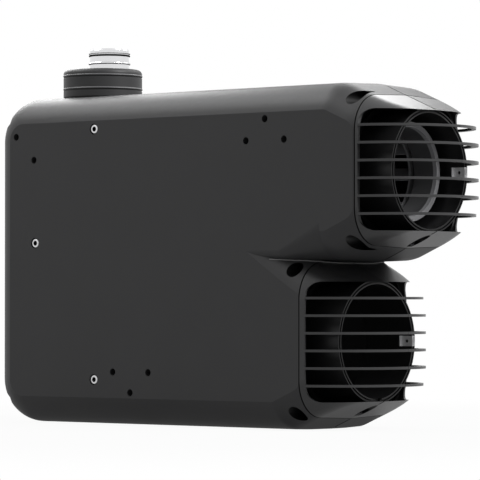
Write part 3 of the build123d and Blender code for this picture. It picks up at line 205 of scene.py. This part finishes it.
def grille_shade_and_seam(name):
    """What is dark on one grille: painted shade on its skirt in the groove and in its screw well, and the
    dark seam.
    """
    def painted_shade_and_joints(sums, x, y, z):
        skirt = sums.below(x, LIP_X[name] - GROOVE_BACK[name] + GROOVE_WIDTH + MASK_COVER)
        well = sums.within(y, z, (0.0, HEAD_Z[name] - GRILLE_WELL_DROP), GRILLE_WELL_RADIUS + MASK_COVER)
        return sums.any([skirt, well, seam(sums, x, y, z)])
    return painted_shade_and_joints


def collar_groove_shade(sums, x, y, z):
    """Painted shade in the collar's two ring grooves."""
    inside = sums.within(x, y, (FLUE_X, 0.0), COLLAR_RADIUS - MASK_COVER)
    return sums.of("MULTIPLY", inside, sums.below(z, COLLAR_GROOVES_Z[1] + 2 * COLLAR_GROOVE_HALF))


def nozzle_bore_shade(sums, x, y, z):
    """Painted shade in the nozzle's bore behind the light band at its mouth."""
    return sums.below(x, LIP_X["upper"] - NOZZLE_BACK - NOZZLE_BAND)


def sockets(sums, x, y, z):
    """Painted shade in the hexagon sockets of the face screws."""
    return sums.any([sums.within(x, z, centre, SOCKET_RADIUS) for centre in FACE_SCREWS])


def surface(name, color, rough, metal=0.0, specular=0.5, painted_shade_and_joints=None, dark_share=0.06):
    """Procedural finish. The optional mask function paints shade into grooves, wells and bores and darkens
    joints; there the colour falls to dark_share.
    """
    mat = bpy.data.materials.new(name)
    mat.use_nodes = True
    nodes, links = mat.node_tree.nodes, mat.node_tree.links
    bsdf = nodes["Principled BSDF"]
    where = node_at(nodes, "ShaderNodeTexCoord", (-1100, 0))

    slow = node_at(nodes, "ShaderNodeTexNoise", (-850, 200))
    slow.inputs["Scale"].default_value = MOTTLE_SCALE
    slow.inputs["Detail"].default_value = MOTTLE_DETAIL
    links.new(where.outputs["Object"], slow.inputs["Vector"])
    shade = node_at(nodes, "ShaderNodeMapRange", (-620, 200))
    shade.inputs["To Min"].default_value = 1.0 - MOTTLE
    shade.inputs["To Max"].default_value = 1.0 + MOTTLE
    links.new(slow.outputs["Fac"], shade.inputs["Value"])
    share = shade.outputs["Result"]
    if painted_shade_and_joints:
        place = node_at(nodes, "ShaderNodeSeparateXYZ", (-2800, 900))
        links.new(where.outputs["Object"], place.inputs[0])
        sums = Sums(mat.node_tree)
        mask = painted_shade_and_joints(sums, *place.outputs)
        kept = sums.of("SUBTRACT", 1.0, sums.of("MULTIPLY", mask, 1.0 - dark_share))
        share = sums.of("MULTIPLY", share, kept)
    tint = node_at(nodes, "ShaderNodeVectorMath", (-400, 200))
    tint.operation = "SCALE"
    tint.inputs[0].default_value = color
    links.new(share, tint.inputs["Scale"])
    links.new(tint.outputs["Vector"], bsdf.inputs["Base Color"])

    fine = node_at(nodes, "ShaderNodeTexNoise", (-850, -200))
    fine.inputs["Scale"].default_value = GRAIN_SCALE
    fine.inputs["Detail"].default_value = GRAIN_DETAIL
    links.new(where.outputs["Object"], fine.inputs["Vector"])
    matt = node_at(nodes, "ShaderNodeMapRange", (-620, -100))
    matt.inputs["To Min"].default_value = max(rough - ROUGH_SPREAD, ROUGH_LEAST)
    matt.inputs["To Max"].default_value = min(rough + ROUGH_SPREAD, 1.0)
    links.new(fine.outputs["Fac"], matt.inputs["Value"])
    links.new(matt.outputs["Result"], bsdf.inputs["Roughness"])
    relief = node_at(nodes, "ShaderNodeBump", (-400, -300))
    relief.inputs["Strength"].default_value = GRAIN_STRENGTH
    relief.inputs["Distance"].default_value = GRAIN_HEIGHT
    links.new(fine.outputs["Fac"], relief.inputs["Height"])
    links.new(relief.outputs["Normal"], bsdf.inputs["Normal"])

    bsdf.inputs["Metallic"].default_value = metal
    bsdf.inputs["Specular IOR Level"].default_value = specular
    return mat


def dress(material, *names):
    """Give CAD nodes their finish."""
    for name in names:
        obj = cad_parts[name]
        obj.data.materials.clear()
        obj.data.materials.append(material)


dress(surface("moulded front", ANTHRACITE, 0.48, specular=0.3, painted_shade_and_joints=front_shell_shade_and_seam), "front_shell")
dress(surface("moulded rear", ANTHRACITE, 0.48, specular=0.3, painted_shade_and_joints=shell_end_shade_and_seam), "rear_shell")
dress(surface("moulded collar", ANTHRACITE, 0.48, specular=0.3, painted_shade_and_joints=collar_groove_shade), "flue_collar")
for head in LIP_X:
    dress(surface("moulded " + head + " grille", GRILLE_GREY, 0.32, specular=0.4,
                  painted_shade_and_joints=grille_shade_and_seam(head)), head + "_grille")
dress(surface("black duct plastic", DUCT_BLACK, 0.38, specular=0.3), "upper_duct_ring",
      "lower_duct_ring", "intake_plate", "outlet_plate", "air_fan_housing", "flue_manifold", "air_duct",
      "control_housing", "control_cover", "cable_gland")
dress(surface("grey nozzle plastic", NOZZLE_GREY, 0.45, painted_shade_and_joints=nozzle_bore_shade, dark_share=0.2), "fan_inlet_ring")
dress(surface("fan plastic", WHEEL_GREY_WITH_PAINTED_LIGHT, 0.4), "fan_wheel", "air_wheel", "air_sensor")
dress(surface("black rubber", RUBBER_BLACK, 0.8, specular=0.05), "shell_seal", "flue_o_ring")
dress(surface("bright zinc", BRIGHT_STEEL, 0.28, metal=1.0), "valve_spring")
dress(surface("bright screw zinc", BRIGHT_STEEL, 0.28, metal=1.0, painted_shade_and_joints=sockets), "face_screws")
dress(surface("clip zinc", CLIP_GREY, 0.5, metal=0.2), "upper_duct_clip", "lower_duct_clip")
dress(surface("blackened steel", DARK_STEEL, 0.45, metal=1.0), "shell_screws", "grille_screws")
dress(surface("polished flue steel", BRIGHT_STEEL, 0.16, metal=1.0), "flue_tube", "exhaust_pipe")
dress(surface("zinc sheet", SHEET_STEEL, 0.4, metal=1.0), "carrier_plate", "burner_plate", "flame_tube",
      "burner_head", "overheat_switch", "air_shaft", "fan_shaft", "fan_bracket", "partition_plate",
      "heat_shield", "valve_plunger", "gas_pipe")
dress(surface("cast aluminium", CAST_ALUMINIUM, 0.55, metal=1.0), "heat_exchanger", "mixing_box")
dress(surface("motor paint", MOTOR_GREY, 0.45), "fan_motor", "air_motor")
dress(surface("valve brass", VALVE_BRASS, 0.3, metal=1.0), "valve_body", "gas_inlet")
dress(surface("coil resin", COIL_BLACK, 0.5), "valve_coil")
dress(surface("circuit board", BOARD_GREEN, 0.35), "control_board")
dress(surface("glazed ceramic", CERAMIC_WHITE, 0.25), "igniter_electrode", "flame_sensor")


def piece(name, points, faces, material):
    """Small scene piece that rides on the casing."""
    mesh = bpy.data.meshes.new(name)
    mesh.from_pydata(points, [], faces)
    mesh.materials.append(material)
    for face in mesh.polygons:
        face.use_smooth = True
    obj = bpy.data.objects.new(name, mesh)
    bpy.context.collection.objects.link(obj)
    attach(obj, "root")
    return obj


def ring(name, centre_x, profile, material, turns=128):
    """Thin closed ring turned about an upright axis from a closed profile of (radius, z) points."""
    count = len(profile)
    points = []
    faces = []
    for step in range(turns):
        angle = 2 * math.pi * step / turns
        for radius, z in profile:
            points.append((centre_x + radius * math.cos(angle), radius * math.sin(angle), z))
        for corner in range(count):
            here, there = step * count, (step + 1) % turns * count
            after = (corner + 1) % count
            faces.append((here + corner, there + corner, there + after, here + after))
    return piece(name, points, faces, material)


def bar(name, sections, material):
    """Thin closed bar through a row of sections with the same number of corners."""
    sides = len(sections[0])
    points = [point for section in sections for point in section]
    faces = []
    for step in range(len(sections) - 1):
        for corner in range(sides):
            here, after = sides * step + corner, sides * step + (corner + 1) % sides
            faces.append((here, after, after + sides, here + sides))
    faces.append(tuple(reversed(range(sides))))
    faces.append(tuple(range(len(points) - sides, len(points))))
    return piece(name, points, faces, material)


# Fine dark line over the parting joint on the heads. Each part of it lies where a look straight down (-1)
# or up (1) from look_z meets the head, as (name, head, first x, last x, look_z, way of the look).
SEAM_LINES = (
    ("seam_upper_top", "upper", 0.168, 0.247, 0.33, -1),
    ("seam_upper_under", "upper", 0.155, 0.187, 0.1485, 1),
    ("seam_upper_lip", "upper", 0.2155, 0.247, 0.1485, 1),
    ("seam_lower_under", "lower", 0.109, 0.126, -0.02, 1),
    ("seam_lower_lip", "lower", 0.1575, 0.189, -0.02, 1),
)
SEAM_STEP = 0.0015
SEAM_LINE_HALF = 0.0004
SEAM_RISE = 0.00015
SEAM_JUMP = 0.0015
SEAM_CORNERS = ((-SEAM_LINE_HALF, -SEAM_RISE), (SEAM_LINE_HALF, -SEAM_RISE),
                (SEAM_LINE_HALF, SEAM_RISE), (-SEAM_LINE_HALF, SEAM_RISE))


def seam_sections(head, first_x, last_x, look_z, way):
    """Sections of the seam line on one head's surface, without those that fall into a groove."""
    sections = []
    for step in range(int((last_x - first_x) / SEAM_STEP) + 1):
        x = first_x + step * SEAM_STEP
        looks = [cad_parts[node].ray_cast((x, -SEAM_LINE_HALF, look_z), (0.0, 0.0, float(way)))
                 for node in ("front_shell", head + "_grille")]
        heights = [spot.z for hit, spot, normal, index in looks if hit]
        if not heights:
            break
        z = min(heights) if way > 0 else max(heights)
        if not sections or abs(z - sections[-1][0][2]) <= SEAM_JUMP:
            sections.append([(x, -way * across, z - way * lift) for across, lift in SEAM_CORNERS])
    return sections


seam_black = surface("seam shade", DUCT_BLACK, 0.9, specular=0.0)
for name, head, first_x, last_x, look_z, way in SEAM_LINES:
    bar(name, seam_sections(head, first_x, last_x, look_z, way), seam_black)

# Raised lips over the collar's grooves: an upright face, then a slope up to the top, in a light grey that is
# a painted highlight of the light on their tops
COLLAR_LIP_REACH = 0.00045
COLLAR_LIP_RISE = 0.0013
COLLAR_LIP_FACE = 0.000325
COLLAR_LIP_TOP_INSET = 0.00005
lip_highlight = surface("collar lip highlight", LIP_HIGHLIGHT_GREY, 0.4, specular=0.3)
inner, outer = COLLAR_RADIUS - COLLAR_LIP_REACH, COLLAR_RADIUS + COLLAR_LIP_REACH
for number, groove_z in enumerate(COLLAR_GROOVES_Z, 1):
    low = groove_z + COLLAR_GROOVE_HALF
    high = low + COLLAR_LIP_RISE
    profile = [(inner, low), (outer, low), (outer, low + COLLAR_LIP_FACE),
               (COLLAR_RADIUS - COLLAR_LIP_TOP_INSET, high), (inner, high)]
    ring("collar_lip_%d" % number, FLUE_X, profile, lip_highlight)

# Light bar along the crease between the two heads, a painted highlight for the lit rim there, as (depth, x,
# z) from the middle outwards
CREASE = ((0.0, 0.1307, 0.1462), (0.027, 0.1305, 0.1464), (0.0428, 0.1264, 0.1475),
          (0.0498, 0.1242, 0.1478), (0.0555, 0.1202, 0.1482), (0.061, 0.1132, 0.1484),
          (0.0651, 0.1053, 0.1488), (0.0686, 0.0967, 0.1492), (0.0701, 0.0913, 0.1495))
CREASE_RADIUS = 0.0006
CREASE_SIDES = 6
UPRIGHT = Vector((0.0, 0.0, 1.0))


def crease_sections():
    """Sections of the crease's lip from the front face round the heads to the rear face."""
    path = [Vector((x, -y, z)) for y, x, z in reversed(CREASE)]
    path += [Vector((x, y, z)) for y, x, z in CREASE[1:]]
    angles = [2 * math.pi * corner / CREASE_SIDES for corner in range(CREASE_SIDES)]
    sections = []
    for step, place in enumerate(path):
        along = path[min(step + 1, len(path) - 1)] - path[max(step - 1, 0)]
        side = along.cross(UPRIGHT).normalized()
        up = side.cross(along).normalized()
        sections.append([place + CREASE_RADIUS * (math.cos(angle) * side - math.sin(angle) * up)
                         for angle in angles])
    return sections


bar("crotch_highlight", crease_sections(), surface("crotch lip highlight", CREASE_HIGHLIGHT_GREY, 0.4, specular=0.3))

# Fine line round the steel tube
TUBE_LINE_Z = 0.3452
TUBE_LINE_HALF = 0.0003
TUBE_LINE_REACH = 0.0009
inner, outer = TUBE_RADIUS - TUBE_LINE_HALF, TUBE_RADIUS + TUBE_LINE_REACH
low, high = TUBE_LINE_Z - TUBE_LINE_HALF, TUBE_LINE_Z + TUBE_LINE_HALF
ring("tube_line", TUBE_X, [(inner, low), (outer, low), (outer, high), (inner, high)],
     surface("dark steel line", LINE_GREY, 0.5, metal=0.5))

# The valve's return spring as a scene object with its own copy of the mesh, in place of the hidden CAD part
spring = bpy.data.objects.new("valve_spring_coil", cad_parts["valve_spring"].data.copy())
bpy.context.collection.objects.link(spring)
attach(spring, "root")
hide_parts("valve_spring")
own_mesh(spring)

# White surroundings. The floor keeps a little of the object's shadow, which fades out with the distance.
FLOOR_REACH = 6.0
SHADOW_NEAR = 0.35
SHADOW_FAR = 0.9
SHADOW_KEPT = 0.05
FLOOR_MIRRORED = 0.35
SOFT_LIGHT = 0.3


def floor_finish(name):
    """Grey floor. Camera and clear rays see it white but for the kept shadow, and mirror rays in part."""
    mat = bpy.data.materials.new(name)
    mat.use_nodes = True
    nodes, links = mat.node_tree.nodes, mat.node_tree.links
    nodes.clear()
    sums = Sums(mat.node_tree)
    where = node_at(nodes, "ShaderNodeTexCoord", (-1000, 100))
    away = node_at(nodes, "ShaderNodeVectorMath", (-800, 100))
    away.operation = "LENGTH"
    links.new(where.outputs["Object"], away.inputs[0])
    fade = node_at(nodes, "ShaderNodeMapRange", (-600, 100))
    fade.interpolation_type = "SMOOTHSTEP"
    fade.inputs["From Min"].default_value = SHADOW_NEAR
    fade.inputs["From Max"].default_value = SHADOW_FAR
    fade.inputs["To Min"].default_value = 1.0 - SHADOW_KEPT
    fade.inputs["To Max"].default_value = 1.0
    links.new(away.outputs["Value"], fade.inputs["Value"])
    rays = node_at(nodes, "ShaderNodeLightPath", (-600, 400)).outputs
    clear = sums.of("MAXIMUM", rays["Is Camera Ray"], rays["Is Transmission Ray"])
    direct = sums.of("MULTIPLY", clear, fade.outputs["Result"])
    mirrored = sums.of("MULTIPLY", rays["Is Glossy Ray"], FLOOR_MIRRORED)
    plain = node_at(nodes, "ShaderNodeBsdfDiffuse", (-100, 0))
    plain.inputs["Color"].default_value = FLOOR_GREY
    white = node_at(nodes, "ShaderNodeEmission", (-100, -200))
    white.inputs["Strength"].default_value = 1.0
    mix = node_at(nodes, "ShaderNodeMixShader", (350, 0))
    links.new(sums.of("MAXIMUM", direct, mirrored), mix.inputs["Fac"])
    links.new(plain.outputs[0], mix.inputs[1])
    links.new(white.outputs[0], mix.inputs[2])
    out = node_at(nodes, "ShaderNodeOutputMaterial", (600, 0))
    links.new(mix.outputs[0], out.inputs["Surface"])
    return mat


def white_world():
    """World with soft light for the object and white for camera, mirror and clear rays."""
    world = bpy.data.worlds.new("studio")
    world.use_nodes = True
    nodes, links = world.node_tree.nodes, world.node_tree.links
    nodes.clear()
    sums = Sums(world.node_tree)
    rays = node_at(nodes, "ShaderNodeLightPath", (-200, 300)).outputs
    seen = sums.of("MAXIMUM", rays["Is Camera Ray"], rays["Is Glossy Ray"])
    mix = node_at(nodes, "ShaderNodeMixShader", (500, 0))
    links.new(sums.of("MAXIMUM", seen, rays["Is Transmission Ray"]), mix.inputs["Fac"])
    for slot, strength, place in ((1, SOFT_LIGHT, (200, 0)), (2, 1.0, (200, -200))):
        sky = node_at(nodes, "ShaderNodeBackground", place)
        sky.inputs["Color"].default_value = WHITE
        sky.inputs["Strength"].default_value = strength
        links.new(sky.outputs[0], mix.inputs[slot])
    out = node_at(nodes, "ShaderNodeOutputWorld", (700, 0))
    links.new(mix.outputs[0], out.inputs["Surface"])
    return world


floor_mesh = bpy.data.meshes.new("floor")
floor_corners = [(-FLOOR_REACH, -FLOOR_REACH, 0), (FLOOR_REACH, -FLOOR_REACH, 0),
                 (FLOOR_REACH, FLOOR_REACH, 0), (-FLOOR_REACH, FLOOR_REACH, 0)]
floor_mesh.from_pydata(floor_corners, [], [(0, 1, 2, 3)])
floor_mesh.materials.append(floor_finish("pale floor"))
floor = bpy.data.objects.new("floor", floor_mesh)
bpy.context.collection.objects.link(floor)
bpy.context.scene.world = white_world()

# Soft lamps: name, place, aim, width and depth in metres, watts
LAMPS = (
    ("left lamp", (-0.7, 0.3, 0.75), (-0.25, 0.0, 0.28), 0.4, 0.4, 4.0),
    ("top lamp", (-1.0, -0.5, 1.5), (-0.05, -0.05, 0.25), 0.9, 0.8, 14.0),
    ("right lamp", (1.5, 0.35, 1.6), (0.1, 0.0, 0.15), 1.0, 0.8, 50.0),
    ("rear lamp", (-0.06, 0.36, 0.6), (0.15, -0.03, 0.29), 0.16, 0.16, 0.5),
)


def turned(looking):
    """Rotation of a lamp or camera that looks along a direction."""
    return looking.to_track_quat("-Z", "Y").to_euler()


for name, place, aim, width, depth, watts in LAMPS:
    lamp = bpy.data.lights.new(name, "AREA")
    lamp.shape = "RECTANGLE"
    lamp.size = width
    lamp.size_y = depth
    lamp.energy = watts
    lamp_object = bpy.data.objects.new(name, lamp)
    lamp_object.location = place
    lamp_object.rotation_euler = turned(Vector(aim) - Vector(place))
    bpy.context.collection.objects.link(lamp_object)

turn = math.radians(AZIMUTH)
camera_data = bpy.data.cameras.new("photo camera")
camera_data.sensor_width = SENSOR
camera_data.lens = FOCAL_PIXELS * SENSOR / FRAME_PIXELS
camera_data.clip_end = CLIP_END
camera = bpy.data.objects.new("photo camera", camera_data)
camera.location = (AIM.x + DISTANCE * math.sin(turn), AIM.y - DISTANCE * math.cos(turn), EYE_HEIGHT)
camera.rotation_euler = turned(AIM - camera.location)
bpy.context.collection.objects.link(camera)
bpy.context.scene.camera = camera
bpy.context.scene.view_settings.view_transform = "Standard"
